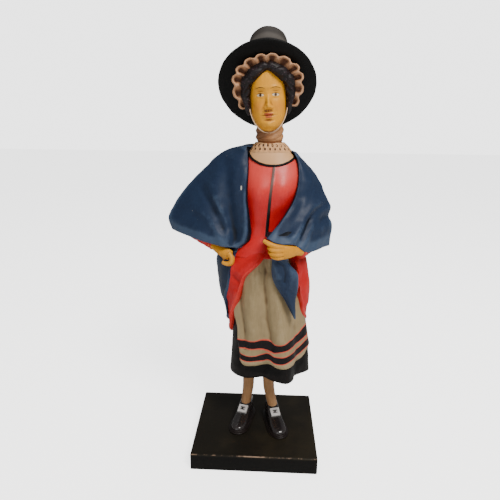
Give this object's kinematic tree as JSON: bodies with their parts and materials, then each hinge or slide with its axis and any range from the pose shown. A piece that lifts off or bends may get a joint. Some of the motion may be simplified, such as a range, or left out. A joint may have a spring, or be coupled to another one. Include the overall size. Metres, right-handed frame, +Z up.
{
  "type": "souvenir figurine",
  "caption": "Standing figure of a woman in Welsh national dress: tall brimmed hat, draped shawl, open gown over an apron and skirt, on a rectangular plinth.",
  "frame": {"origin": "centre of the plinth's underside", "axes": "+Z up through the figure, +X to the viewer's right, -Y towards the viewer, so the figure faces -Y"},
  "size_m": [0.1527, 0.118, 0.4046],
  "materials": {
    "figure_paint": "hand-painted, low sheen, worn on the ridges",
    "plinth_paint": "black paint, low sheen, scuffed at the edges"
  },
  "bodies": {
    "root": {"figure": "figure_paint", "plinth": "plinth_paint"}
  },
  "joints": []
}
